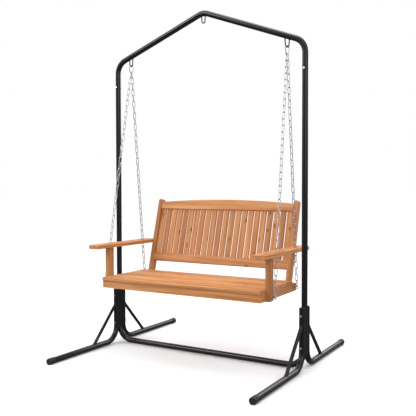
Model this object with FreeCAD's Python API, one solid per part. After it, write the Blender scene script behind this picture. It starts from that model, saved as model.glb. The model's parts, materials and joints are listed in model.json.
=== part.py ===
"""Porch swing: a slatted timber bench on four chains under a knock-down steel tube frame.

Millimetres. X runs across the seat, -Y is the front, Z is up. The origin is on the floor, midway
between the uprights. The bench hangs with its weight plumb under the two side hooks.
"""
import FreeCAD, Part
import math
import os

V = FreeCAD.Vector
ORIGIN = V(0, 0, 0)
AXIS_X = V(1, 0, 0)
AXIS_Y = V(0, 1, 0)
AXIS_Z = V(0, 0, 1)
SIDES = (("left", -1), ("right", 1))
ENDS = (("front", -1), ("rear", 1))

# ---- steel frame ----
SPAN = 1450.0            # between the centrelines of the uprights
TUBE_R = 19.0
TUBE_WALL = 1.5
FLOOR_LINE_Z = 20.0      # centreline of every tube that lies along the floor
SHOULDER_Z = 2026.0      # where upright and beam arm would meet if there were no bend
APEX_Z = 2301.0          # where the two beam arms would meet if there were no bend
SLEEVE_Z = 1825.0        # seam between an upright and a beam arm
SLEEVE_BOLT_Z = 1860.0
LEG_TOP_Z = 390.0        # top of the legs and of the crossbar's upturned ends
LEG_BOLT_Z = (345.0, 146.0)
FOOT_REACH = 725.0       # from the plane of the uprights to the outer end of a foot
SHOULDER_BEND_R = 98.0
APEX_BEND_R = 95.0
FLOOR_BEND_R = 105.0
APEX_SEAM_X = -37.0
SPIGOT_LENGTH = 60.0
SPIGOT_COLLAR = 4.0
SPIGOT_GAP = 0.1
TOUCH_GAP = 0.3          # between tubes that are bolted side by side
WELD_GAP = 0.02
BRACE_R = 11.0
BRACE_WALL = 1.2
BRACE_TOP_Z = 272.0
BRACE_FOOT_Y = 280.0
FOOT_CAP_R = 21.0
FOOT_CAP_LENGTH = 46.0
FOOT_CAP_END = 3.0
LEG_CAP_FLANGE = 2.0
LEG_CAP_DOME = 5.0
LEG_CAP_PLUG = 18.0

# ---- frame fastenings ----
BOLT_R = 4.0
BOLT_HOLE_R = 4.2
HEX_ACROSS = 13.0
HEAD_HEIGHT = 5.3
NUT_HEIGHT = 6.5
NUT_DOME_R = 5.6
NUT_DOME_HEIGHT = 5.0
BOLT_ENTRY = 8.0         # length of bolt inside its cap nut
SADDLE_R = 9.0
SADDLE_HEIGHT = 2.5      # flat outer face of a saddle washer above the tube's crown

# ---- hooks, snap hooks and chains ----
HOOK_X = 605.0
HOOK_TIP_Z = 2003.0      # centreline of the rod at the bottom of a side hook
SPARE_HOOK_TIP_Z = 2231.0
HOOK_ROD_R = 4.0
HOOK_TIP_R = 12.0
HOOK_SPLAY = math.radians(4.0)
SNAP_ROD_R = 3.0
SNAP_TOP_R = 15.0        # centreline radius of the wide upper end
SNAP_BOTTOM_R = 10.0
SNAP_HEIGHT = 54.0       # between the centrelines of its top and its bottom
SNAP_TURN = -28.0        # degrees about the vertical, as a loaded snap hook settles
HANG_GAP = 0.6           # between a hook and its snap hook, clear at both ends of the swing
REST_GAP = 0.3
GATE_HINGE_RISE = 3.5
GATE_PIN_R = 1.0
GATE_PIN_GAP = 0.05
GATE_TONGUE = 2.0
GATE_SLOT = 2.6
NOSE_LAP = (10.0, 3.0)   # where the half-lap of gate and nose starts and ends, below the bend
LINK_WIRE_R = 2.25
LINK_WIDTH = 22.0
LINK_INNER = 41.88
LINKS = 36
LINK_SEAT = (3.0, 4.4)   # first link's wire from the middle, and from the centre, of the bottom bend
FIRST_TURN = 8.0         # degrees a first link stands off square to the rod that it hangs on
RING_GAP = 0.6

# ---- timber bench; v is measured back from its front edge ----
SEAT_FRONT_Y = -352.0    # sets the hanging weight plumb under the hooks
SEAT_HALF = 590.0
SEAT_DEPTH = 484.0
SEAT_TOP = 527.0
PLANKS = 5
PLANK_GAP = 8.0
PLANK_T = 20.0
EDGE_ROUND = 4.0
RAIL_H = 50.0
RAIL_T = 25.0
APRON_V = (6.0, 30.0)
SIDE_RAIL_END_V = 545.0
REAR_RAIL_V = 445.0
BEARER_W = 45.0
POST_T = 30.0
POST_V = (70.0, 122.0)
ARM_T = 25.0
ARM_TOP = 747.0
ARM_X = (566.0, 660.0)
ARM_V = (-70.0, 603.0)
ARM_CORNER_R = 30.0
ARM_HOLE_R = 17.0
LEAN_DEG = 15.6
STILE_V = 492.0          # front face of a stile at the height of the seat
STILE_T = 30.0
STILE_DEPTH = 50.0
STILE_FOOT = -95.0
BACK_HEIGHT = 522.0      # top of the stiles above the seat
STILE_ROUND = 12.0
LOWER_RAIL = (69.0, 125.0)
CREST_LOW = 448.0
CREST_END_H = 53.0
CREST_MID_H = 75.0
BACK_RAIL_T = 28.0
BACK_RAIL_SETBACK = 5.0
RAIL_TENON = (20.0, 8.0, 6.0)    # length, inset from top and bottom, inset from the faces
SLATS = 22
SLAT_W = 39.0
SLAT_T = 14.0
SLAT_SETBACK = 12.0
SLAT_END_GAP = 4.0
SLAT_TENON = (12.0, 5.0, 2.0)    # length, inset from the sides, inset from the faces
JOINT_GAP = 0.1

# ---- bench fastenings ----
EYE_R = 9.0              # centreline radius of an eye
EYE_WIRE_R = 3.0
EYE_HOLE_R = 3.3
EYE_OFFSET = 20.0        # eye centre outside the timber
EYE_V = {"front": 96.0, "rear": 508.0}
EYE_Z = 482.0
EYE_GRIP = 55.0          # timber that each eye bolt clamps
EYE_TAIL = 4.0
WASHER_R = 9.0
WASHER_T = 1.6
EYE_NUT_ACROSS = 10.0
EYE_NUT_H = 5.0
SCREW_HEAD_R = 4.0
SCREW_HEAD_H = 2.4
SCREW_R = 2.0
SCREW_LENGTH = 42.0
SCREW_SINK = 0.4
SCREW_SLOT = (2.2, 0.5, 1.2)     # half length, half width and depth of each bar of the cross
PLANK_SCREW_V = 22.0     # either side of a plank's middle

HALF = SPAN / 2
SLOPE = (APEX_Z - SHOULDER_Z) / HALF
LEG_Y = 2 * TUBE_R + TOUCH_GAP
UNDERSIDE = SEAT_TOP - PLANK_T
RAIL_BOTTOM = UNDERSIDE - RAIL_H
ARM_BOTTOM = ARM_TOP - ARM_T
LEAN = math.radians(LEAN_DEG)
STILE_X = SEAT_HALF - RAIL_T - STILE_T
EYE_FACE_X = {"front": SEAT_HALF + POST_T, "rear": SEAT_HALF}


# ---- shared shapes ----

def rod(start, end, radius):
    """A solid round bar from one point to another."""
    return Part.makeCylinder(radius, (end - start).Length, start, end - start)


def block(x, y, z):
    """A rectangular block between pairs of coordinates."""
    return Part.makeBox(x[1] - x[0], y[1] - y[0], z[1] - z[0], V(x[0], y[0], z[0]))


def hexagon(across, height, base, direction):
    """A hexagonal prism standing on base."""
    corner_r = across / math.sqrt(3)
    turns = [math.radians(60 * i) for i in range(7)]
    outline = Part.makePolygon([V(corner_r * math.cos(t), corner_r * math.sin(t), 0) for t in turns])
    prism = Part.Face(outline).extrude(V(0, 0, height))
    prism.Placement = FreeCAD.Placement(base, FreeCAD.Rotation(AXIS_Z, direction))
    return prism


def dome(base, direction, radius, height):
    """A shallow spherical cap standing on base."""
    sphere_r = (radius ** 2 + height ** 2) / (2 * height)
    sphere = Part.makeSphere(sphere_r, base + direction * (height - sphere_r))
    return sphere.common(rod(base, base + direction * (height + 1), radius + 1))


def path(points, bend_r):
    """A wire of straight runs joined by tangent arcs."""
    edges = []
    last = points[0]
    for before, corner, after in zip(points, points[1:], points[2:]):
        arrive = (corner - before).normalize()
        leave = (after - corner).normalize()
        half_turn = arrive.getAngle(leave) / 2
        reach = bend_r * math.tan(half_turn)
        inward = (leave - arrive).normalize()
        middle = corner + inward * (bend_r / math.cos(half_turn) - bend_r)
        edges.append(Part.LineSegment(last, corner - arrive * reach).toShape())
        edges.append(Part.Arc(corner - arrive * reach, middle, corner + leave * reach).toShape())
        last = corner + leave * reach
    edges.append(Part.LineSegment(last, points[-1]).toShape())
    return Part.Wire(edges)


def swept(wire, start, direction, radius):
    """A round section swept along a wire."""
    profile = Part.Wire(Part.Circle(start, direction, radius).toShape())
    return wire.makePipeShell([profile], True, False)


def bar(points, bend_r, radius):
    """A solid round bar along a bent path."""
    return swept(path(points, bend_r), points[0], points[1] - points[0], radius)


def tube(points, bend_r=0, radius=TUBE_R, wall=TUBE_WALL):
    """A hollow round tube along a bent path."""
    return bar(points, bend_r, radius).cut(bar(points, bend_r, radius - wall))


def spigot(end, direction):
    """The reduced end of a tube, which pushes into the next tube."""
    outer = TUBE_R - TUBE_WALL - SPIGOT_GAP
    root = end - direction * SPIGOT_COLLAR
    collar = rod(root, end, TUBE_R - TUBE_WALL / 2)
    neck = rod(root, end + direction * SPIGOT_LENGTH, outer)
    bore = rod(root - direction, end + direction * (SPIGOT_LENGTH + 1), outer - TUBE_WALL)
    return collar.fuse(neck).cut(bore)


def bolt_hole(x, z):
    return rod(V(x, -LEG_Y * 2, z), V(x, LEG_Y * 2, z), BOLT_HOLE_R)


def softened(shape, radius, chosen):
    """Rounds the edges that chosen picks out."""
    return shape.makeFillet(radius, [edge for edge in shape.Edges if chosen(edge)])


def runs_along(edge, axis):
    """True for a straight edge parallel to axis."""
    straight = isinstance(edge.Curve, (Part.Line, Part.LineSegment))
    return straight and abs(abs(edge.tangentAt(edge.FirstParameter).dot(axis)) - 1) < 1e-6


def mirrored(shape, side):
    """A right-hand shape, or its mirror image on the left."""
    return shape if side > 0 else shape.mirror(ORIGIN, AXIS_X)


# ---- steel frame ----

def beam_z(x):
    """Height of a beam arm's straight centreline."""
    return APEX_Z - SLOPE * abs(x)


def beam_path(side):
    """From the sleeve seam round the shoulder to halfway up the slope."""
    middle = V(side * HALF / 2, 0, beam_z(HALF / 2))
    return [V(side * HALF, 0, SLEEVE_Z), V(side * HALF, 0, SHOULDER_Z), middle]


def apex_path():
    seam = V(APEX_SEAM_X, 0, beam_z(APEX_SEAM_X))
    return [V(HALF / 2, 0, beam_z(HALF / 2)), V(0, 0, APEX_Z), seam]


def beam_arms():
    """The right arm carries the apex bend and pushes into the left arm."""
    seam = apex_path()[-1]
    down_left = V(-1, 0, -SLOPE).normalize()
    left_path = beam_path(-1)[:2] + [seam]
    left = tube(left_path, SHOULDER_BEND_R).cut(bolt_hole(-HALF, SLEEVE_BOLT_Z))
    right = tube(beam_path(1), SHOULDER_BEND_R).fuse(tube(apex_path(), APEX_BEND_R))
    right = right.fuse(spigot(seam, down_left)).removeSplitter()
    return left, right.cut(bolt_hole(HALF, SLEEVE_BOLT_Z))


def upright(x):
    """A straight tube with a spigot at each end."""
    low = V(x, 0, LEG_TOP_Z)
    high = V(x, 0, SLEEVE_Z)
    body = tube([low, high]).fuse([spigot(low, V(0, 0, -1)), spigot(high, AXIS_Z)])
    return body.removeSplitter().cut([bolt_hole(x, SLEEVE_BOLT_Z), bolt_hole(x, LEG_BOLT_Z[0])])


def crossbar():
    """Lies along the floor and turns up at both ends to take the uprights."""
    points = [V(-HALF, 0, LEG_TOP_Z), V(-HALF, 0, FLOOR_LINE_Z),
              V(HALF, 0, FLOOR_LINE_Z), V(HALF, 0, LEG_TOP_Z)]
    holes = [bolt_hole(x, z) for x in (-HALF, HALF) for z in LEG_BOLT_Z]
    return tube(points, FLOOR_BEND_R).cut(holes)


def leg_path(x, end):
    foot_y = end * (FOOT_REACH - FOOT_CAP_END - REST_GAP)
    return [V(x, end * LEG_Y, LEG_TOP_Z), V(x, end * LEG_Y, FLOOR_LINE_Z), V(x, foot_y, FLOOR_LINE_Z)]


def leg(x, end):
    return tube(leg_path(x, end), FLOOR_BEND_R).cut([bolt_hole(x, z) for z in LEG_BOLT_Z])


def brace(x, end):
    """A straight stay whose coped ends are welded to the leg and the foot."""
    high = V(x, end * (LEG_Y + TUBE_R), BRACE_TOP_Z)
    low = V(x, end * BRACE_FOOT_Y, FLOOR_LINE_Z + TUBE_R)
    along = (low - high).normalize()
    stay = tube([high - along * TUBE_R, low + along * TUBE_R], 0, BRACE_R, BRACE_WALL)
    return stay.cut(bar(leg_path(x, end), FLOOR_BEND_R, TUBE_R + WELD_GAP))


def foot_cap(x, end):
    """A plastic cup over the end of a foot, with a flat to stand on."""
    tip = V(x, end * FOOT_REACH, FLOOR_LINE_Z)
    mouth = tip - V(0, end * FOOT_CAP_LENGTH, 0)
    cup = rod(mouth, tip, FOOT_CAP_R)
    cup = softened(cup, FOOT_CAP_END, lambda edge: abs(edge.CenterOfMass.y - tip.y) < 1)
    bore = rod(mouth - V(0, end, 0), tip - V(0, end * FOOT_CAP_END, 0), TUBE_R + SPIGOT_GAP)
    below = block((x - 50, x + 50), (tip.y - 100, tip.y + 100), (-10, 0))
    return cup.cut([bore, below])


def leg_cap(x, end):
    """A domed plug in the open top of a leg."""
    top = V(x, end * LEG_Y, LEG_TOP_Z)
    flange_top = top + AXIS_Z * LEG_CAP_FLANGE
    plug = rod(top - AXIS_Z * LEG_CAP_PLUG, flange_top, TUBE_R - TUBE_WALL - SPIGOT_GAP)
    return plug.fuse([rod(top, flange_top, TUBE_R), dome(flange_top, AXIS_Z, TUBE_R, LEG_CAP_DOME)])


def bolted_places():
    """Each frame bolt: x, z, and how far the outer tube's crown is from the plane of the uprights."""
    legs = [(x, z, LEG_Y + TUBE_R) for x in (-HALF, HALF) for z in LEG_BOLT_Z]
    sleeves = [(x, SLEEVE_BOLT_Z, TUBE_R) for x in (-HALF, HALF)]
    return legs, sleeves


def frame_bolt(x, z, reach):
    """A hexagon bolt along Y with its head at the front."""
    seat = reach + SADDLE_HEIGHT
    head = hexagon(HEX_ACROSS, HEAD_HEIGHT, V(x, -seat - HEAD_HEIGHT, z), AXIS_Y)
    return head.fuse(rod(V(x, -seat, z), V(x, seat + BOLT_ENTRY, z), BOLT_R))


def cap_nut(x, z, reach):
    """A domed nut at the rear."""
    base = V(x, reach + SADDLE_HEIGHT, z)
    crown = dome(base + AXIS_Y * NUT_HEIGHT, AXIS_Y, NUT_DOME_R, NUT_DOME_HEIGHT)
    body = hexagon(HEX_ACROSS, NUT_HEIGHT, base, AXIS_Y).fuse(crown)
    return body.cut(rod(base, base + AXIS_Y * BOLT_ENTRY, BOLT_R))


def saddle_washer(x, z, reach, end):
    """A washer hollowed to sit on the round tube."""
    disc = rod(V(x, end * (reach - SADDLE_HEIGHT), z), V(x, end * (reach + SADDLE_HEIGHT), z), SADDLE_R)
    crown_line = V(x, end * (reach - TUBE_R), z - 2 * SADDLE_R)
    tube_body = rod(crown_line, crown_line + AXIS_Z * 4 * SADDLE_R, TUBE_R + WELD_GAP)
    return disc.cut([tube_body, bolt_hole(x, z)])


def hanger_hook(x, tip_z):
    """A bent rod loop welded under the beam."""
    vertex_z = tip_z - HOOK_TIP_R * (1 / math.sin(HOOK_SPLAY) - 1)
    top_z = beam_z(x)
    spread = (top_z - vertex_z) * math.tan(HOOK_SPLAY)
    loop = bar([V(x - spread, 0, top_z), V(x, 0, vertex_z), V(x + spread, 0, top_z)],
               HOOK_TIP_R, HOOK_ROD_R)
    beam = [bar(beam_path(side), SHOULDER_BEND_R, TUBE_R + WELD_GAP) for side in (-1, 1)]
    return loop.cut(beam + [bar(apex_path(), APEX_BEND_R, TUBE_R + WELD_GAP)])


# ---- snap hooks: drawn in the YZ plane with the gate towards -Y, then turned and moved ----

SNAP_TOP_Z = HOOK_TIP_Z + HOOK_ROD_R + HANG_GAP + SNAP_ROD_R - SNAP_TOP_R    # centre of its top bend
SNAP_LOW_Z = SNAP_TOP_Z + SNAP_TOP_R - SNAP_HEIGHT + SNAP_BOTTOM_R           # centre of its bottom bend
SIDE_SINE = (SNAP_TOP_R - SNAP_BOTTOM_R) / (SNAP_TOP_Z - SNAP_LOW_Z)
SIDE_COSINE = math.sqrt(1 - SIDE_SINE ** 2)


def snap_tangent(side, centre_z, radius):
    """Where a straight side of the snap hook meets a bend."""
    return V(0, side * radius * SIDE_COSINE, centre_z - radius * SIDE_SINE)


GATE_FOOT = snap_tangent(-1, SNAP_LOW_Z, SNAP_BOTTOM_R)
GATE_HEAD = snap_tangent(-1, SNAP_TOP_Z, SNAP_TOP_R)
GATE_UP = (GATE_HEAD - GATE_FOOT).normalize()
GATE_IN = V(0, -GATE_UP.z, GATE_UP.y) * -1
GATE_HINGE = GATE_FOOT + GATE_UP * GATE_HINGE_RISE


def lap_half(inner, start, end):
    """The inner or outer half of the gate's bar between two distances below the top bend."""
    near = GATE_HEAD - GATE_UP * start
    far = GATE_HEAD - GATE_UP * end
    across = GATE_IN * (2 * SNAP_ROD_R if inner else -2 * SNAP_ROD_R)
    clear = GATE_IN * (-REST_GAP / 2 if inner else REST_GAP / 2)
    outline = Part.makePolygon([near + clear, far + clear, far + across, near + across, near + clear])
    return Part.Face(outline).extrude(AXIS_X * 4 * SNAP_ROD_R).translated(AXIS_X * -2 * SNAP_ROD_R)


def snap_body():
    """The bent rod of a snap hook, from its nose round both bends to the gate's tongue."""
    nose = GATE_HEAD - GATE_UP * NOSE_LAP[0]
    back_head = snap_tangent(1, SNAP_TOP_Z, SNAP_TOP_R)
    back_foot = snap_tangent(1, SNAP_LOW_Z, SNAP_BOTTOM_R)
    crown = V(0, 0, SNAP_TOP_Z + SNAP_TOP_R)
    bottom = V(0, 0, SNAP_LOW_Z - SNAP_BOTTOM_R)
    wire = Part.Wire([Part.LineSegment(nose, GATE_HEAD).toShape(),
                      Part.Arc(GATE_HEAD, crown, back_head).toShape(),
                      Part.LineSegment(back_head, back_foot).toShape(),
                      Part.Arc(back_foot, bottom, GATE_FOOT).toShape()])
    body = swept(wire, nose, GATE_UP, SNAP_ROD_R)
    body = body.cut(lap_half(True, NOSE_LAP[0] + 1, NOSE_LAP[1]))
    half_tongue = AXIS_X * (GATE_TONGUE / 2)
    eye = rod(GATE_HINGE - half_tongue, GATE_HINGE + half_tongue, SNAP_ROD_R)
    root = GATE_FOOT - GATE_UP
    across = GATE_IN * SNAP_ROD_R
    outline = Part.makePolygon([root - across, GATE_HINGE - across, GATE_HINGE + across,
                                root + across, root - across])
    tongue = Part.Face(outline).extrude(half_tongue * 2).translated(half_tongue * -1)
    return body.fuse([eye, tongue]).cut(gate_pin())


def gate_pin():
    return rod(GATE_HINGE - AXIS_X * SNAP_ROD_R, GATE_HINGE + AXIS_X * SNAP_ROD_R, GATE_PIN_R)


def snap_gate():
    """The spring gate: a bar forked round the tongue, half-lapped with the nose."""
    top = GATE_HEAD - GATE_UP * (NOSE_LAP[1] + REST_GAP)
    knuckle = rod(GATE_HINGE - AXIS_X * SNAP_ROD_R, GATE_HINGE + AXIS_X * SNAP_ROD_R, SNAP_ROD_R)
    stem = rod(GATE_HINGE, top, SNAP_ROD_R).fuse(knuckle)
    slot = rod(GATE_HINGE - AXIS_X * (GATE_SLOT / 2), GATE_HINGE + AXIS_X * (GATE_SLOT / 2),
               SNAP_ROD_R + 2 * REST_GAP)
    pin_hole = rod(GATE_HINGE - AXIS_X * 5, GATE_HINGE + AXIS_X * 5, GATE_PIN_R + GATE_PIN_GAP)
    return stem.cut([slot, pin_hole, lap_half(False, NOSE_LAP[0] + REST_GAP, 0)])


def hung(shape, side):
    """Turns a snap hook's piece as it settles, and hangs it on its hook."""
    placed = shape.copy()
    placed.rotate(ORIGIN, AXIS_Z, SNAP_TURN)
    placed.translate(V(side * HOOK_X, 0, 0))
    return placed


# ---- chains ----

def chain_ends(side, end_name, end):
    """The top of a chain's first link, the eye that its last link holds, and the snap hook's way."""
    offset, seat_r = LINK_SEAT
    drop = math.sqrt(seat_r ** 2 - offset ** 2)
    along = FreeCAD.Rotation(AXIS_Z, SNAP_TURN).multVec(AXIS_Y)
    top = V(side * HOOK_X, 0, SNAP_LOW_Z - drop) + along * (end * offset)
    eye_x = side * (EYE_FACE_X[end_name] + EYE_OFFSET)
    bottom = V(eye_x, SEAT_FRONT_Y + EYE_V[end_name], EYE_Z + EYE_R)
    return top, bottom, along


def chain_link():
    """One link, long way along Z, with its bends in the XZ plane."""
    bend_r = LINK_WIDTH / 2 - LINK_WIRE_R
    half = LINK_INNER / 2 + LINK_WIRE_R - bend_r
    corners = [V(bend_r, 0, -half), V(bend_r, 0, half), V(-bend_r, 0, half), V(-bend_r, 0, -half)]
    wire = Part.Wire([Part.LineSegment(corners[0], corners[1]).toShape(),
                      Part.Arc(corners[1], V(0, 0, half + bend_r), corners[2]).toShape(),
                      Part.LineSegment(corners[2], corners[3]).toShape(),
                      Part.Arc(corners[3], V(0, 0, -half - bend_r), corners[0]).toShape()])
    return swept(wire, corners[0], AXIS_Z, LINK_WIRE_R)


def chain(side, end_name, end):
    """Alternate links between the snap hook and an eye, with a slight even twist."""
    top, bottom, first_rod = chain_ends(side, end_name, end)
    down = (bottom - top).normalize()
    first = top + down * (LINK_INNER / 2 + LINK_WIRE_R)
    last = bottom - down * (LINK_INNER / 2 - EYE_WIRE_R - RING_GAP)
    across = (AXIS_X - down * down.dot(AXIS_X)).normalize()
    over = down.cross(across)
    start_way = first_rod.cross(down)
    end_way = AXIS_X.cross(down)
    start_turn = math.degrees(math.atan2(start_way.dot(over), start_way.dot(across))) + FIRST_TURN
    end_turn = math.degrees(math.atan2(end_way.dot(over), end_way.dot(across)))
    extra = (end_turn - start_turn - 90 * (LINKS - 1) + 90) % 180 - 90
    pattern = chain_link()
    links = []
    for i in range(LINKS):
        share = i / (LINKS - 1)
        turn = math.radians(start_turn + 90 * i + extra * share)
        wide = across * math.cos(turn) + over * math.sin(turn)
        link = pattern.copy()
        turned = FreeCAD.Rotation(wide, down.cross(wide), down, "ZXY")
        link.Placement = FreeCAD.Placement(first + (last - first) * share, turned)
        links.append(link)
    return Part.makeCompound(links)


def arm_hole(side, end_name, end):
    """The hole through which a chain passes the armrest."""
    top, bottom, _ = chain_ends(side, end_name, end)
    down = (bottom - top).normalize()
    middle = top + down * ((ARM_TOP - ARM_T / 2 - top.z) / down.z)
    return rod(middle - down * ARM_T, middle + down * ARM_T, ARM_HOLE_R)


# ---- timber seat ----

def at_v(v):
    return SEAT_FRONT_Y + v


def plank_rows():
    """Front and back of each seat plank."""
    width = (SEAT_DEPTH - (PLANKS - 1) * PLANK_GAP) / PLANKS
    return [(i * (width + PLANK_GAP), i * (width + PLANK_GAP) + width) for i in range(PLANKS)]


def plank(row):
    board = block((-SEAT_HALF, SEAT_HALF), (at_v(row[0]), at_v(row[1])), (UNDERSIDE, SEAT_TOP))
    top_edges = softened(board, EDGE_ROUND,
                         lambda e: runs_along(e, AXIS_X) and e.CenterOfMass.z > SEAT_TOP - 1)
    return top_edges.cut(screw_pockets())


def rail(x, v):
    """A timber under the planks."""
    return block(x, (at_v(v[0]), at_v(v[1])), (RAIL_BOTTOM, UNDERSIDE)).cut(screw_pockets())


def side_rail(side):
    timber = block((SEAT_HALF - RAIL_T, SEAT_HALF), (at_v(APRON_V[1]), at_v(SIDE_RAIL_END_V)),
                   (RAIL_BOTTOM, UNDERSIDE))
    timber = softened(timber, EDGE_ROUND, lambda e: e.CenterOfMass.y > at_v(SIDE_RAIL_END_V) - 1)
    return mirrored(timber, side).cut(screw_pockets() + eye_holes())


def arm_post(side):
    post = block((SEAT_HALF, SEAT_HALF + POST_T), (at_v(POST_V[0]), at_v(POST_V[1])),
                 (RAIL_BOTTOM, ARM_BOTTOM))
    post = softened(post, EDGE_ROUND / 2,
                    lambda e: runs_along(e, AXIS_Z) and e.CenterOfMass.x > SEAT_HALF + 1)
    return mirrored(post, side).cut(screw_pockets() + eye_holes())


def armrest(side):
    """A flat board with rounded corners that the chains pass through."""
    board = block(ARM_X, (at_v(ARM_V[0]), at_v(ARM_V[1])), (ARM_BOTTOM, ARM_TOP))
    board = softened(board, ARM_CORNER_R,
                     lambda e: runs_along(e, AXIS_Z) and e.CenterOfMass.y < at_v(0))
    board = softened(board, EDGE_ROUND * 2,
                     lambda e: runs_along(e, AXIS_Z) and e.CenterOfMass.y > at_v(0))
    board = softened(board, EDGE_ROUND, lambda e: not runs_along(e, AXIS_Z))
    holes = [arm_hole(side, name, end) for name, end in ENDS]
    return mirrored(board, side).cut(holes + screw_pockets())


# ---- timber back: drawn upright with x across, y through its depth, z up it, then leaned ----

def up_back(height):
    """Distance along the leaning back for a height above the seat."""
    return height / math.cos(LEAN)


def leaned(shape):
    placed = shape.copy()
    placed.rotate(ORIGIN, AXIS_X, -LEAN_DEG)
    placed.translate(V(0, at_v(STILE_V), SEAT_TOP))
    return placed


def rail_tenon(side, low, high, gap=0.0):
    """A tenon from a back rail into a stile, or its mortise when gap is given."""
    length, inset_z, inset_y = RAIL_TENON
    depth = (BACK_RAIL_SETBACK + inset_y - gap, BACK_RAIL_SETBACK + BACK_RAIL_T - inset_y + gap)
    reach = STILE_X + length + 5 * gap
    tenon = block((STILE_X - 1, reach), depth, (low + inset_z - gap, high - inset_z + gap))
    return mirrored(tenon, side)


def back_rail_levels():
    """Lower and upper edge of both back rails where they meet the stiles."""
    return [[up_back(h) for h in LOWER_RAIL], [up_back(CREST_LOW), up_back(CREST_LOW) + CREST_END_H]]


def slat_places():
    """Centre of each slat across the back."""
    first = -STILE_X + SLAT_END_GAP + SLAT_W / 2
    pitch = -2 * first / (SLATS - 1)
    return [first + i * pitch for i in range(SLATS)]


def slat_tenons(x, gap=0.0):
    """The tongues at both ends of a slat, or their mortises when gap is given."""
    length, inset_x, inset_y = SLAT_TENON
    half = SLAT_W / 2 - inset_x + gap
    depth = (SLAT_SETBACK + inset_y - gap, SLAT_SETBACK + SLAT_T - inset_y + gap)
    low, high = up_back(LOWER_RAIL[1]), up_back(CREST_LOW)
    reach = length + 5 * gap
    spans = ((low - reach, low + 1), (high - 1, high + reach))
    return [block((x - half, x + half), depth, span) for span in spans]


def back_slats():
    """Upright slats with eased front edges, tenoned into both rails."""
    slats = []
    for x in slat_places():
        low, high = up_back(LOWER_RAIL[1]), up_back(CREST_LOW)
        board = block((x - SLAT_W / 2, x + SLAT_W / 2), (SLAT_SETBACK, SLAT_SETBACK + SLAT_T), (low, high))
        board = softened(board, SLAT_T / 6, lambda e: runs_along(e, AXIS_Z))
        slats.append(leaned(board.fuse(slat_tenons(x))))
    return Part.makeCompound(slats)


def slat_mortises():
    return [hole for x in slat_places() for hole in slat_tenons(x, JOINT_GAP)]


def lower_back_rail():
    low, high = back_rail_levels()[0]
    depth = (BACK_RAIL_SETBACK, BACK_RAIL_SETBACK + BACK_RAIL_T)
    timber = block((-STILE_X, STILE_X), depth, (low, high))
    timber = softened(timber, EDGE_ROUND, lambda e: runs_along(e, AXIS_X))
    tenons = [rail_tenon(side, low, high) for _, side in SIDES]
    return leaned(timber.fuse(tenons).cut(slat_mortises()))


def crest_rail():
    """The arched top rail."""
    low, shoulder = back_rail_levels()[1]
    front = BACK_RAIL_SETBACK
    ends = [V(-STILE_X, front, low), V(STILE_X, front, low),
            V(STILE_X, front, shoulder), V(-STILE_X, front, shoulder)]
    arch = Part.Arc(ends[2], V(0, front, low + CREST_MID_H), ends[3]).toShape()
    outline = Part.Wire([Part.LineSegment(ends[0], ends[1]).toShape(),
                         Part.LineSegment(ends[1], ends[2]).toShape(), arch,
                         Part.LineSegment(ends[3], ends[0]).toShape()])
    timber = Part.Face(outline).extrude(V(0, BACK_RAIL_T, 0))
    timber = softened(timber, EDGE_ROUND, lambda e: abs(e.CenterOfMass.x) < 1)
    tenons = [rail_tenon(side, low, shoulder) for _, side in SIDES]
    return leaned(timber.fuse(tenons).cut(slat_mortises()))


def stile(side):
    """A leaning back post between the seat's rail and the crest."""
    top = up_back(BACK_HEIGHT)
    timber = block((STILE_X, STILE_X + STILE_T), (0, STILE_DEPTH), (STILE_FOOT, top))
    timber = softened(timber, EDGE_ROUND / 2, lambda e: runs_along(e, AXIS_Z))
    timber = softened(timber, STILE_ROUND, lambda e: runs_along(e, AXIS_X) and e.CenterOfMass.z > top - 1)
    mortises = [rail_tenon(1, low, high, JOINT_GAP) for low, high in back_rail_levels()]
    timber = leaned(timber.cut(mortises))
    below = block((0, SEAT_HALF), (at_v(0), at_v(SIDE_RAIL_END_V + 100)), (0, RAIL_BOTTOM))
    return mirrored(timber.cut(below), side).cut(screw_pockets() + eye_holes())


# ---- bench fastenings ----

def eye_places():
    """Each eye bolt: the side it faces and the point where it enters the timber."""
    return [(side, V(side * EYE_FACE_X[name], at_v(EYE_V[name]), EYE_Z))
            for _, side in SIDES for name, _ in ENDS]


def eye_bolt(side, face):
    outward = AXIS_X * side
    centre = face + outward * EYE_OFFSET
    ring = Part.makeTorus(EYE_R, EYE_WIRE_R, centre, AXIS_Y)
    tail = face - outward * (EYE_GRIP + WASHER_T + EYE_NUT_H + EYE_TAIL)
    return ring.fuse(rod(centre - outward * EYE_R, tail, EYE_WIRE_R))


def eye_holes():
    return [rod(face + AXIS_X * side, face - AXIS_X * side * (EYE_GRIP + 1), EYE_HOLE_R)
            for side, face in eye_places()]


def eye_seats():
    """Where a washer and nut bear on the timber, outside and inside, with the way they face."""
    seats = []
    for side, face in eye_places():
        seats.append((face, AXIS_X * side))
        seats.append((face - AXIS_X * side * EYE_GRIP, AXIS_X * -side))
    return seats


def eye_washer(point, outward):
    return rod(point, point + outward * WASHER_T, WASHER_R).cut(
        rod(point, point + outward * WASHER_T, EYE_HOLE_R))


def eye_nut(point, outward):
    base = point + outward * WASHER_T
    return hexagon(EYE_NUT_ACROSS, EYE_NUT_H, base, outward).cut(
        rod(base, base + outward * EYE_NUT_H, EYE_WIRE_R))


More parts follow.
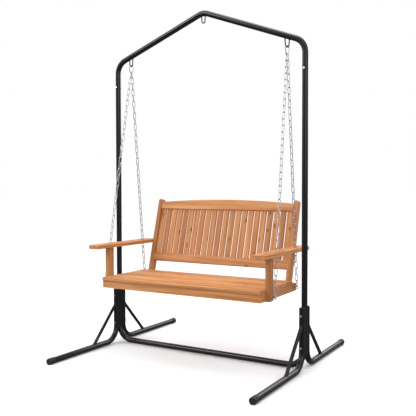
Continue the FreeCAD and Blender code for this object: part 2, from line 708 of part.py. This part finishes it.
def screw_places():
    """Every wood screw: the point on the timber's face and the way it goes in."""
    down = V(0, 0, -1)
    rail_x = SEAT_HALF - RAIL_T / 2
    places = []
    for front, back in plank_rows():
        for v in ((front + back) / 2 - PLANK_SCREW_V, (front + back) / 2 + PLANK_SCREW_V):
            places += [(V(x, at_v(v), SEAT_TOP), down) for x in (-rail_x, 0, rail_x)]
    for _, side in SIDES:
        for v in (POST_V[0] + 13, POST_V[1] - 13):
            places.append((V(side * (SEAT_HALF + POST_T / 2), at_v(v), ARM_TOP), down))
        for z in (RAIL_BOTTOM + 13, UNDERSIDE - 13):
            places.append((V(side * rail_x, at_v(APRON_V[0]), z), AXIS_Y))
        for step in (16, 34):
            height = (ARM_TOP - ARM_T / 2 - SEAT_TOP)
            y = at_v(STILE_V) + height * math.tan(LEAN) + step
            places.append((V(side * STILE_X, y, ARM_TOP - ARM_T / 2), AXIS_X * side))
    return places


def countersunk(point, inward):
    """The shape of a screw's head and shank below the timber's face."""
    head = point + inward * SCREW_SINK
    cone = Part.makeCone(SCREW_HEAD_R, SCREW_R, SCREW_HEAD_H, head, inward)
    return cone.fuse(rod(head + inward * (SCREW_HEAD_H / 2), head + inward * SCREW_LENGTH, SCREW_R))


def wood_screw(point, inward):
    head = point + inward * SCREW_SINK
    half_length, half_width, depth = SCREW_SLOT
    upright_way = AXIS_X if abs(inward.x) < 0.5 else AXIS_Z
    other_way = inward.cross(upright_way)
    bars = []
    for long_way, short_way in ((upright_way, other_way), (other_way, upright_way)):
        corners = [long_way * (half_length * a) + short_way * (half_width * b) + head
                   for a, b in ((-1, -1), (1, -1), (1, 1), (-1, 1), (-1, -1))]
        bars.append(Part.Face(Part.makePolygon(corners)).extrude(inward * depth))
    return countersunk(point, inward).cut(bars)


POCKETS = []


def screw_pockets():
    """The holes that the screws sit in, made once."""
    if not POCKETS:
        for point, inward in screw_places():
            sink = rod(point - inward, point + inward * SCREW_SINK, SCREW_HEAD_R)
            POCKETS.append(countersunk(point, inward).fuse(sink))
    return POCKETS


# ---- the assembly ----

def frame_nodes():
    nodes = {}
    nodes["beam_arm_left"], nodes["beam_arm_right"] = beam_arms()
    nodes["bottom_crossbar"] = crossbar()
    for side_name, side in SIDES:
        x = side * HALF
        nodes[f"upright_{side_name}"] = upright(x)
        nodes[f"hanger_hook_{side_name}"] = hanger_hook(side * HOOK_X, HOOK_TIP_Z)
        for end_name, end in ENDS:
            corner = f"{end_name}_{side_name}"
            nodes[f"leg_{corner}"] = leg(x, end)
            nodes[f"brace_{corner}"] = brace(x, end)
            nodes[f"foot_cap_{corner}"] = foot_cap(x, end)
    nodes["spare_hook"] = hanger_hook(0, SPARE_HOOK_TIP_Z)
    nodes["leg_top_caps"] = [leg_cap(side * HALF, end) for _, side in SIDES for _, end in ENDS]
    legs, sleeves = bolted_places()
    nodes["leg_bolts"] = [frame_bolt(*place) for place in legs]
    nodes["sleeve_bolts"] = [frame_bolt(*place) for place in sleeves]
    nodes["cap_nuts"] = [cap_nut(*place) for place in legs + sleeves]
    nodes["saddle_washers"] = [saddle_washer(*place, end) for place in legs + sleeves for _, end in ENDS]
    return nodes


def hanging_nodes():
    nodes = {}
    for side_name, side in SIDES:
        nodes[f"snap_hook_{side_name}"] = hung(snap_body(), side)
        nodes[f"snap_gate_{side_name}"] = hung(snap_gate(), side)
        nodes[f"gate_pin_{side_name}"] = hung(gate_pin(), side)
        for end_name, end in ENDS:
            nodes[f"chain_{end_name}_{side_name}"] = chain(side, end_name, end)
    return nodes


def bench_nodes():
    nodes = {}
    for number, row in enumerate(plank_rows(), 1):
        nodes[f"seat_plank_{number}"] = plank(row)
    inner = SEAT_HALF - RAIL_T
    nodes["front_apron"] = rail((-SEAT_HALF, SEAT_HALF), APRON_V)
    nodes["rear_seat_rail"] = rail((-inner, inner), (REAR_RAIL_V, REAR_RAIL_V + RAIL_T))
    nodes["centre_bearer"] = rail((-BEARER_W / 2, BEARER_W / 2), (APRON_V[1], REAR_RAIL_V))
    for side_name, side in SIDES:
        nodes[f"side_rail_{side_name}"] = side_rail(side)
        nodes[f"arm_post_{side_name}"] = arm_post(side)
        nodes[f"armrest_{side_name}"] = armrest(side)
        nodes[f"back_stile_{side_name}"] = stile(side)
    nodes["crest_rail"] = crest_rail()
    nodes["lower_back_rail"] = lower_back_rail()
    nodes["back_slats"] = back_slats()
    nodes["eye_bolts"] = [eye_bolt(*place) for place in eye_places()]
    nodes["eye_bolt_washers"] = [eye_washer(*seat) for seat in eye_seats()]
    nodes["eye_bolt_nuts"] = [eye_nut(*seat) for seat in eye_seats()]
    nodes["wood_screws"] = [wood_screw(*place) for place in screw_places()]
    return nodes


def main():
    os.makedirs("parts", exist_ok=True)
    for name, shape in {**frame_nodes(), **hanging_nodes(), **bench_nodes()}.items():
        if isinstance(shape, list):
            shape = Part.makeCompound(shape)
        shape.exportStep(f"parts/{name}.step")
        print(f"{name:22s} solids {len(shape.Solids):3d}  volume {shape.Volume:12.1f}"
              f"  valid {shape.isValid()}")


main()
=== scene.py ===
"""Looks, light and camera for the porch swing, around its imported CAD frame. Metres throughout."""

import json
import math

import bmesh
import bpy
from mathutils import Matrix, Vector


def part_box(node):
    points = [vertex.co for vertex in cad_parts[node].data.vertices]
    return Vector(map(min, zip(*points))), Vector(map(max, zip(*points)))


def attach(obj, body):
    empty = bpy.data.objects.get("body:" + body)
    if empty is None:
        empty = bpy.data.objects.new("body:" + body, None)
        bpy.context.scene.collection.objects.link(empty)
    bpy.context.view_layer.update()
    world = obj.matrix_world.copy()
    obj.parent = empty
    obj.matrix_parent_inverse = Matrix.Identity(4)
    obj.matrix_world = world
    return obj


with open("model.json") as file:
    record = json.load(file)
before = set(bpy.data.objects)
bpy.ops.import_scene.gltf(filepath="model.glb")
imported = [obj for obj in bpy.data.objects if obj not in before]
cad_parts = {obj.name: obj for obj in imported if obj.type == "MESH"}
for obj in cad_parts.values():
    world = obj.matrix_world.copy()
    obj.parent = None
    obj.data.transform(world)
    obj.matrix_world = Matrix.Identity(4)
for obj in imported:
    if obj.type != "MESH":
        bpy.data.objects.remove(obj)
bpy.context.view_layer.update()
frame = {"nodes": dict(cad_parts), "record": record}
nodes = frame["nodes"]

# ---- node helpers ----

class Graph:
    """A short way to write the nodes of a material or of the world."""

    def __init__(self, owner, shader):
        owner.use_nodes = True
        self.owner = owner
        self.tree = owner.node_tree
        self.shader = self.tree.nodes[shader]

    def node(self, kind, settings=None, **inputs):
        made = self.tree.nodes.new(kind)
        for key, value in (settings or {}).items():
            setattr(made, key, value)
        for key, value in inputs.items():
            self.plug(made.inputs[key.replace("_", " ")], value)
        return made

    def plug(self, socket, value):
        """Links value where it is a socket, and sets it where it is a number."""
        if isinstance(value, bpy.types.NodeSocket):
            self.tree.links.new(value, socket)
        else:
            socket.default_value = value

    def maths(self, operation, *values):
        made = self.node("ShaderNodeMath", {"operation": operation})
        for socket, value in zip(made.inputs, values):
            self.plug(socket, value)
        return made.outputs[0]

    def shift(self, vector, operation, other):
        made = self.node("ShaderNodeVectorMath", {"operation": operation})
        self.plug(made.inputs[0], vector)
        self.plug(made.inputs[1], other)
        return made.outputs[0]

    def stretch(self, vector, along, across):
        """Scales a vector, differently along X."""
        return self.node("ShaderNodeMapping", Vector=vector, Scale=(along, across, across)).outputs[0]

    def noise(self, vector, scale, detail=2.0, roughness=0.5, distortion=0.0):
        return self.node("ShaderNodeTexNoise", Vector=vector, Scale=scale, Detail=detail,
                         Roughness=roughness, Distortion=distortion).outputs["Fac"]

    def split(self, vector):
        return self.node("ShaderNodeSeparateXYZ", Vector=vector).outputs

    def channel(self, colour, index):
        return self.node("ShaderNodeSeparateColor", Color=colour).outputs[index]

    def ramp(self, factor, stops):
        """Blends between stops of (position, grey or colour)."""
        made = self.node("ShaderNodeValToRGB", Fac=factor)
        elements = made.color_ramp.elements
        elements.remove(elements[1])
        elements[0].position = stops[0][0]
        for position, _ in stops[1:]:
            elements.new(position)
        for element, (_, colour) in zip(elements, stops):
            element.color = (*colour, 1.0) if isinstance(colour, tuple) else (colour, colour, colour, 1.0)
        return made.outputs[0]

    def spread(self, value, low, high):
        """Maps 0 to 1 onto low to high."""
        return self.node("ShaderNodeMapRange", Value=value, To_Min=low, To_Max=high).outputs[0]

    def mix(self, factor, first, second, blend="MIX"):
        """Mixes two colours. A Mix node's colours are its inputs 6 and 7 and its output 2."""
        made = self.node("ShaderNodeMix", {"data_type": "RGBA", "blend_type": blend})
        for index, value in ((0, factor), (6, first), (7, second)):
            self.plug(made.inputs[index], value)
        return made.outputs[2]

    def tint(self, strength, under, colour):
        """Lays a plain colour over another, as strongly as strength says."""
        return self.mix(strength, under, (*colour, 1.0))

    def bump(self, height, strength, distance):
        made = self.node("ShaderNodeBump", Height=height, Strength=strength, Distance=distance)
        self.plug(self.shader.inputs["Normal"], made.outputs[0])

    def finish(self, **sockets):
        for key, value in sockets.items():
            self.plug(self.shader.inputs[key.replace("_", " ")], value)
        return self.owner


def material(name):
    """A new material's graph, and the place of each point on the object."""
    g = Graph(bpy.data.materials.new(name), "Principled BSDF")
    return g, g.node("ShaderNodeTexCoord").outputs["Object"]


# ---- metals and plastic ----

def powder_coat():
    """Semi-gloss black powder coat with a fine orange-peel surface."""
    g, at = material("black_powder_coat")
    cloud = g.noise(at, 14.0, 3.0)
    colour = g.ramp(cloud, [(0.3, (0.0060, 0.0062, 0.0085)), (0.7, (0.0100, 0.0102, 0.0138))])
    g.bump(g.noise(at, 900.0), 0.12, 0.0003)
    return g.finish(Base_Color=colour, Roughness=g.spread(g.noise(at, 45.0, 4.0), 0.14, 0.24))


def plated(name, dark, light, rough, grain):
    """Zinc-plated or galvanised steel, mottled. grain is how fine the mottling is."""
    g, at = material(name)
    colour = g.ramp(g.noise(at, grain, 4.0, 0.6), [(0.32, dark), (0.68, light)])
    g.bump(g.noise(at, grain * 5.0), 0.10, 0.0002)
    wear = g.noise(at, grain * 2.0, 3.0)
    return g.finish(Base_Color=colour, Metallic=1.0, Roughness=g.spread(wear, *rough))


def moulded_plastic():
    """Matte black plastic with a spark-eroded texture."""
    g, at = material("black_plastic")
    g.bump(g.noise(at, 1600.0, 1.0), 0.25, 0.0002)
    colour = g.ramp(g.noise(at, 60.0, 3.0), [(0.3, (0.012, 0.012, 0.013)), (0.7, (0.02, 0.02, 0.022))])
    return g.finish(Base_Color=colour, Roughness=g.spread(g.noise(at, 200.0), 0.48, 0.62))


# ---- timber ----

PALE = (0.800, 0.425, 0.180)
MIDDLE = (0.655, 0.300, 0.108)
DEEP = (0.400, 0.140, 0.040)
KNOT = (0.090, 0.028, 0.010)
FIBRE = (0.320, 0.105, 0.028)
BAND = (0.420, 0.129, 0.036)
PITCH = (0.200, 0.063, 0.016)
RED_TINT = (1.0, 0.86, 0.66, 1.0)
RING_SPACING = 0.0075
RING_HEART = (0.02, 0.05)      # how far the tree's heart lies beside and below the texture's origin
RING_SLANT = 0.035
RING_WAVER = 0.030
KNOT_PUSH = 0.014              # how far a knot pushes the rings aside
KNOT_CELLS = (9.0, 17.0)       # how many to the metre, along and across the grain


def knot_rings(g, spot, across, share):
    """Knots run through the board. Gives where they push the grain, their halo and their heart."""
    wander = g.node("ShaderNodeTexNoise", Vector=g.stretch(spot, 30.0, 60.0), Scale=1.0).outputs["Color"]
    along = g.maths("MULTIPLY", g.split(spot)[0], KNOT_CELLS[0])
    face = g.node("ShaderNodeCombineXYZ", X=along, Y=g.maths("MULTIPLY", across, KNOT_CELLS[1])).outputs[0]
    bent = g.shift(face, "ADD", g.shift(wander, "MULTIPLY", (0.16, 0.16, 0.16)))
    cells = g.node("ShaderNodeTexVoronoi", {"voronoi_dimensions": "2D"}, Vector=bent, Scale=1.0,
                   Randomness=1.0)
    chosen = g.maths("LESS_THAN", g.channel(cells.outputs["Color"], 0), share)
    return [g.maths("MULTIPLY", g.ramp(cells.outputs["Distance"], [(inner, 1.0), (outer, 0.0)]), chosen)
            for inner, outer in ((0.0, 0.42), (0.10, 0.30), (0.05, 0.12))]


def growth_rings(g, spot, push):
    """Rings cut at a slant and bent by a slow waver and by the knots; 1 in the dark latewood."""
    x, y, z = g.split(spot)
    waver = g.noise(g.stretch(spot, 2.2, 14.0), 1.0)
    side = g.maths("ADD", y, g.maths("MULTIPLY", g.maths("SUBTRACT", waver, 0.5), RING_WAVER))
    depth = g.maths("ADD", z, g.maths("MULTIPLY", x, RING_SLANT))
    squares = [g.maths("POWER", g.maths("ADD", part, offset), 2.0)
               for part, offset in zip((side, depth), RING_HEART)]
    radius = g.maths("SQRT", g.maths("ADD", *squares))
    radius = g.maths("ADD", radius, g.maths("MULTIPLY", push, KNOT_PUSH))
    ring = g.maths("FRACT", g.maths("DIVIDE", radius, RING_SPACING))
    return g.ramp(ring, [(0.0, 0.15), (0.55, 0.25), (0.86, 1.0), (1.0, 0.15)])


def timber(name, turn, seed, tone, knots, flat, boards=None):
    """Oiled softwood. turn brings the grain onto X; knots is the share of cells that hold a knot;
    flat means that the board's wide face is level; boards = (first edge, pitch) gives each board of
    one node its own timber."""
    g, at = material(name)
    if boards:
        across = g.maths("SUBTRACT", g.split(at)[0], boards[0])
        number = g.maths("FLOOR", g.maths("DIVIDE", across, boards[1]))
        chance = g.node("ShaderNodeTexWhiteNoise", {"noise_dimensions": "1D"}, W=number).outputs
        at = g.shift(at, "ADD", g.shift(chance["Color"], "MULTIPLY", (7.0, 5.0, 9.0)))
    spot = g.node("ShaderNodeMapping", Vector=at, Rotation=turn,
                  Location=(seed * 1.37, seed * 0.173, seed * 0.219)).outputs[0]
    push, halo, heart = knot_rings(g, spot, g.split(spot)[1 if flat else 2], knots)
    latewood = growth_rings(g, spot, push)
    fibre = g.noise(g.stretch(spot, 9.0, 620.0), 1.0, 5.0, 0.65)
    streak = g.noise(g.stretch(spot, 1.3, 46.0), 1.0, 4.0, 0.62)
    band = g.noise(g.stretch(spot, 1.1, 21.0), 1.0, 2.0, 0.5, 0.6)
    pitch = g.noise(g.stretch(spot, 4.5, 190.0), 1.0, 3.0, 0.6)
    board_tone = g.noise(g.stretch(spot, 0.5, 5.0), 1.0, 1.0)

    body = g.ramp(streak, [(0.27, DEEP), (0.46, MIDDLE), (0.66, PALE)])
    body = g.tint(g.maths("MULTIPLY", latewood, 0.42), body, DEEP)
    body = g.tint(g.maths("MULTIPLY", g.ramp(fibre, [(0.36, 1.0), (0.62, 0.0)]), 0.34), body, FIBRE)
    lift = g.maths("MULTIPLY", tone, g.spread(board_tone, 0.86, 1.14))
    if boards:
        lift = g.maths("MULTIPLY", lift, g.spread(chance["Value"], 0.76, 1.10))
    grey = g.node("ShaderNodeCombineColor", Red=lift, Green=lift, Blue=lift).outputs[0]
    body = g.mix(1.0, body, grey, "MULTIPLY")
    if boards:
        body = g.mix(g.maths("MULTIPLY", g.channel(chance["Color"], 1), 0.55), body, RED_TINT, "MULTIPLY")
    for strength, most, colour in ((g.ramp(band, [(0.50, 0.0), (0.60, 1.0)]), 0.50, BAND),
                                   (g.ramp(pitch, [(0.64, 0.0), (0.72, 1.0)]), 0.55, PITCH),
                                   (halo, 0.60, DEEP), (heart, 0.70, KNOT)):
        body = g.tint(g.maths("MULTIPLY", strength, most), body, colour)

    relief = g.maths("ADD", g.maths("MULTIPLY", fibre, 0.6), g.maths("MULTIPLY", latewood, 0.25))
    g.bump(relief, 0.30, 0.0005)
    return g.finish(Base_Color=body, Specular_IOR_Level=0.32, Roughness=g.spread(fibre, 0.44, 0.62))


LEAN = math.radians(15.6)
ALONG_X = (0.0, 0.0, 0.0)
ALONG_Y = (0.0, 0.0, -math.pi / 2)
ALONG_Z = (0.0, math.pi / 2, 0.0)
UP_BACK = (LEAN, math.pi / 2, 0.0)
LEVEL_BOARDS = ("seat_plank", "armrest")

# node: (which way the grain runs, how pale, how knotty)
GRAIN = {
    "seat_plank_1": (ALONG_X, 1.06, 0.05), "seat_plank_2": (ALONG_X, 1.12, 0.03),
    "seat_plank_3": (ALONG_X, 1.02, 0.06), "seat_plank_4": (ALONG_X, 1.10, 0.03),
    "seat_plank_5": (ALONG_X, 1.00, 0.08), "front_apron": (ALONG_X, 1.04, 0.05),
    "rear_seat_rail": (ALONG_X, 0.94, 0.08), "crest_rail": (ALONG_X, 1.04, 0.16),
    "lower_back_rail": (ALONG_X, 0.90, 0.08), "centre_bearer": (ALONG_Y, 0.92, 0.08),
    "side_rail_left": (ALONG_Y, 0.97, 0.05), "side_rail_right": (ALONG_Y, 0.95, 0.08),
    "armrest_left": (ALONG_Y, 0.97, 0.06), "armrest_right": (ALONG_Y, 1.02, 0.04),
    "arm_post_left": (ALONG_Z, 0.90, 0.05), "arm_post_right": (ALONG_Z, 0.88, 0.05),
    "back_stile_left": (UP_BACK, 0.92, 0.06), "back_stile_right": (UP_BACK, 0.97, 0.06),
}
SLATS = 22
SLAT_WIDTH = 0.039
SLAT_SEED = 3.0


def slat_rows():
    """Where the first slat's share of the back starts, and how far apart the slats are."""
    low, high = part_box("back_slats")
    pitch = (high.x - low.x - SLAT_WIDTH) / (SLATS - 1)
    return low.x - (pitch - SLAT_WIDTH) / 2, pitch


METAL = powder_coat()
CHAIN = plated("galvanised_steel", (0.50, 0.51, 0.53), (0.76, 0.77, 0.79), (0.22, 0.38), 260.0)
BOLT = plated("zinc_bolts", (0.84, 0.85, 0.87), (0.95, 0.95, 0.96), (0.30, 0.46), 300.0)
SCREW = plated("yellow_zinc_screws", (0.40, 0.33, 0.20), (0.58, 0.50, 0.34), (0.28, 0.40), 400.0)
BY_SLOT = {"black_powder_coat": METAL, "galvanised_steel": CHAIN, "zinc_bolts": BOLT,
           "brass_screws": SCREW, "black_plastic": moulded_plastic()}

slot_of = {row["node"]: row["material_slot"] for row in frame["record"]["subparts"]}
for seed, name in enumerate(sorted(nodes)):
    if name == "back_slats":
        look = timber("wood_back_slats", UP_BACK, SLAT_SEED, 1.0, 0.20, False, slat_rows())
    elif name in GRAIN:
        turn, tone, knots = GRAIN[name]
        look = timber("wood_" + name, turn, float(seed), tone, knots, name.startswith(LEVEL_BOARDS))
    else:
        look = BY_SLOT[slot_of[name]]
    mesh = nodes[name].data
    mesh.materials.clear()
    mesh.materials.append(look)

# ---- weld beads ----

BEAD_SIDES = 10
STEPS_PER_RIPPLE = 6
RIPPLE_DEPTH = 0.13            # as a share of the bead's radius
UNEVENNESS = 0.05
ON_TUBE = 0.0004               # how near the tube's outer surface a vertex of its edge lies
END_CUT = 0.009                # a hook's end is cut to the beam's curve within this height


def ring_of(node, across, chosen):
    """A node's chosen vertices, merged and in order round their middle, seen along across."""
    spots = {tuple(round(c, 5) for c in v.co) for v in nodes[node].data.vertices if chosen(v.co)}
    spots = [Vector(spot) for spot in sorted(spots)]
    middle = sum(spots, Vector()) / len(spots)
    first = across.orthogonal().normalized()
    second = across.normalized().cross(first)
    return sorted(spots, key=lambda p: math.atan2((p - middle).dot(second), (p - middle).dot(first)))


def even_points(spots, count):
    """Points at equal steps round a closed line."""
    lengths = [(b - a).length for a, b in zip(spots, spots[1:] + spots[:1])]
    total = sum(lengths)
    out, index, gone = [], 0, 0.0
    for step in range(count):
        goal = total * step / count
        while gone + lengths[index] < goal:
            gone += lengths[index]
            index += 1
        share = (goal - gone) / max(lengths[index], 1e-9)
        out.append(spots[index].lerp(spots[(index + 1) % len(spots)], share))
    return out


def bead(shape, spots, size, ripples):
    """A rippled weld bead of radius size along a closed line, added to a bmesh."""
    count = ripples * STEPS_PER_RIPPLE
    line = even_points(spots, count)
    turns = [2 * math.pi * k / BEAD_SIDES for k in range(BEAD_SIDES)]
    rings = []
    for i, spot in enumerate(line):
        forward = (line[(i + 1) % count] - line[i - 1]).normalized()
        first = forward.orthogonal().normalized()
        second = forward.cross(first)
        ripple = RIPPLE_DEPTH * math.sin(2 * math.pi * i / STEPS_PER_RIPPLE)
        radius = size * (1.0 + ripple + UNEVENNESS * math.sin(i * 1.7))
        rings.append([shape.verts.new(spot + (first * math.cos(a) + second * math.sin(a)) * radius)
                      for a in turns])
    for here, there in zip(rings, rings[1:] + rings[:1]):
        shift = min(range(BEAD_SIDES), key=lambda k: (there[k].co - here[0].co).length)
        for k in range(BEAD_SIDES):
            shape.faces.new((here[k], here[(k + 1) % BEAD_SIDES],
                             there[(k + 1 + shift) % BEAD_SIDES], there[(k + shift) % BEAD_SIDES]))


def welds(name, rings, size, ripples):
    """One smooth piece on the steel frame, with a bead along each ring."""
    shape = bmesh.new()
    for spots in rings:
        bead(shape, spots, size, ripples)
    bmesh.ops.recalc_face_normals(shape, faces=shape.faces)
    mesh = bpy.data.meshes.new(name)
    shape.to_mesh(mesh)
    shape.free()
    mesh.polygons.foreach_set("use_smooth", [True] * len(mesh.polygons))
    mesh.materials.append(METAL)
    made = bpy.data.objects.new(name, mesh)
    bpy.context.collection.objects.link(made)
    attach(made, "frame")


def brace_ends(node):
    """The outer edges of a brace tube's two cut ends. The tube lies in a plane of constant x."""
    mesh = nodes[node].data
    start, end = max(([mesh.vertices[i].co for i in edge.vertices] for edge in mesh.edges),
                     key=lambda pair: (pair[0] - pair[1]).length)
    along = (end - start).normalized()
    low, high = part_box(node)
    middle = (low + high) / 2
    radius = (high.x - low.x) / 2
    aside = along.cross(Vector((1, 0, 0))).normalized()
    depths = [v.co.dot(aside) for v in mesh.vertices]
    centre = (min(depths) + max(depths)) / 2

    def at_end(c, sign):
        outside = abs(math.hypot(c.x - middle.x, c.dot(aside) - centre) - radius) < ON_TUBE
        return outside and sign * (c - middle).dot(along) > 0

    return [ring_of(node, along, lambda c: at_end(c, sign)) for sign in (-1, 1)]


def hook_ends(node):
    """The edges of a hook's two ends, where its rod meets the beam."""
    low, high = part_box(node)
    middle = (low.x + high.x) / 2
    rings = []
    for side in (-1, 1):
        top = max(v.co.z for v in nodes[node].data.vertices if side * (v.co.x - middle) > 0)
        rings.append(ring_of(node, Vector((0, 0, 1)),
                             lambda c: side * (c.x - middle) > 0 and c.z > top - END_CUT))
    return rings


BRACES = ("brace_front_left", "brace_front_right", "brace_rear_left", "brace_rear_right")
HOOKS = ("hanger_hook_left", "hanger_hook_right", "spare_hook")
welds("brace_welds", [ring for node in BRACES for ring in brace_ends(node)], size=0.0024, ripples=22)
welds("hook_welds", [ring for node in HOOKS for ring in hook_ends(node)], size=0.0017, ripples=14)

# ---- floor, light and camera ----

def floor_disc(name, radius):
    """A round floor at z = 0."""
    shape = bmesh.new()
    bmesh.ops.create_circle(shape, cap_ends=True, segments=96, radius=radius)
    mesh = bpy.data.meshes.new(name)
    shape.to_mesh(mesh)
    shape.free()
    g, _ = material(name)
    mesh.materials.append(g.finish(Base_Color=(0.965, 0.965, 0.965, 1.0), Roughness=0.85))
    made = bpy.data.objects.new(name, mesh)
    bpy.context.collection.objects.link(made)
    return made


def softbox(name, spot, aim, size, power):
    light = bpy.data.lights.new(name, "AREA")
    light.shape = "SQUARE"
    light.size = size
    light.energy = power
    made = bpy.data.objects.new(name, light)
    made.location = spot
    made.rotation_euler = (Vector(aim) - Vector(spot)).to_track_quat("-Z", "Y").to_euler()
    bpy.context.collection.objects.link(made)


def studio():
    """White to the eye, brighter overhead for wood, and with two tall panels for gloss."""
    g = Graph(bpy.data.worlds.new("studio"), "Background")
    x, y, z = g.split(g.node("ShaderNodeTexCoord").outputs["Generated"])
    height = g.maths("MULTIPLY_ADD", z, 0.5, 0.5)
    bearing = g.maths("MULTIPLY_ADD", g.maths("ARCTAN2", y, x), 0.5 / math.pi, 0.5)

    def fade(stops):
        """A grey, a little blue, that depends on how far above the horizon a ray points."""
        return g.ramp(height, [(position, (grey, grey, grey * 1.02)) for position, grey in stops])

    panels = g.ramp(bearing, [
        (0.0, 1.0), (0.05, 1.0), (0.07, 0.45), (0.10, 0.45), (0.13, 1.9), (0.16, 1.9), (0.19, 0.55),
        (0.36, 0.55), (0.39, 2.0), (0.42, 2.0), (0.45, 0.60), (0.55, 0.60), (0.62, 1.0), (1.0, 1.0)])
    shine = g.mix(1.0, fade([(0.30, 0.20), (0.48, 0.26), (0.56, 0.58), (0.80, 1.0)]), panels, "MULTIPLY")
    light = fade([(0.30, 0.46), (0.49, 0.60), (0.60, 1.02), (1.0, 1.12)])
    ray = g.node("ShaderNodeLightPath").outputs
    colour = g.mix(ray["Is Diffuse Ray"], (1.0, 1.0, 1.0, 1.0), light)
    return g.finish(Color=g.mix(ray["Is Glossy Ray"], colour, shine))


floor = floor_disc("studio_floor", radius=120.0)
floor.visible_diffuse = False
floor.visible_glossy = False
softbox("key", (-3.4, -4.4, 4.4), (0.0, 0.0, 0.8), 2.4, 95.0)
softbox("fill", (4.8, -3.6, 2.4), (0.0, 0.0, 0.8), 2.4, 26.0)
softbox("top", (0.2, 0.2, 5.4), (0.0, 0.0, 0.0), 2.8, 70.0)
softbox("back", (1.5, 5.2, 3.2), (0.0, 0.0, 1.0), 2.4, 50.0)
bpy.context.scene.world = studio()
bpy.context.scene.view_settings.view_transform = "Standard"

camera_data = bpy.data.cameras.new("camera")
camera_data.sensor_width = 36.0
camera_data.lens = 53.71
camera = bpy.data.objects.new("camera", camera_data)
bpy.context.collection.objects.link(camera)
azimuth, pitch, roll = (math.radians(a) for a in (30.50, 1.898, -0.093))
camera.rotation_euler = (Matrix.Rotation(azimuth, 3, "Z") @ Matrix.Rotation(math.pi / 2 - pitch, 3, "X")
                         @ Matrix.Rotation(roll, 3, "Z")).to_euler()
camera.location = (2.1499, -3.5937, 1.1329)
bpy.context.scene.camera = camera
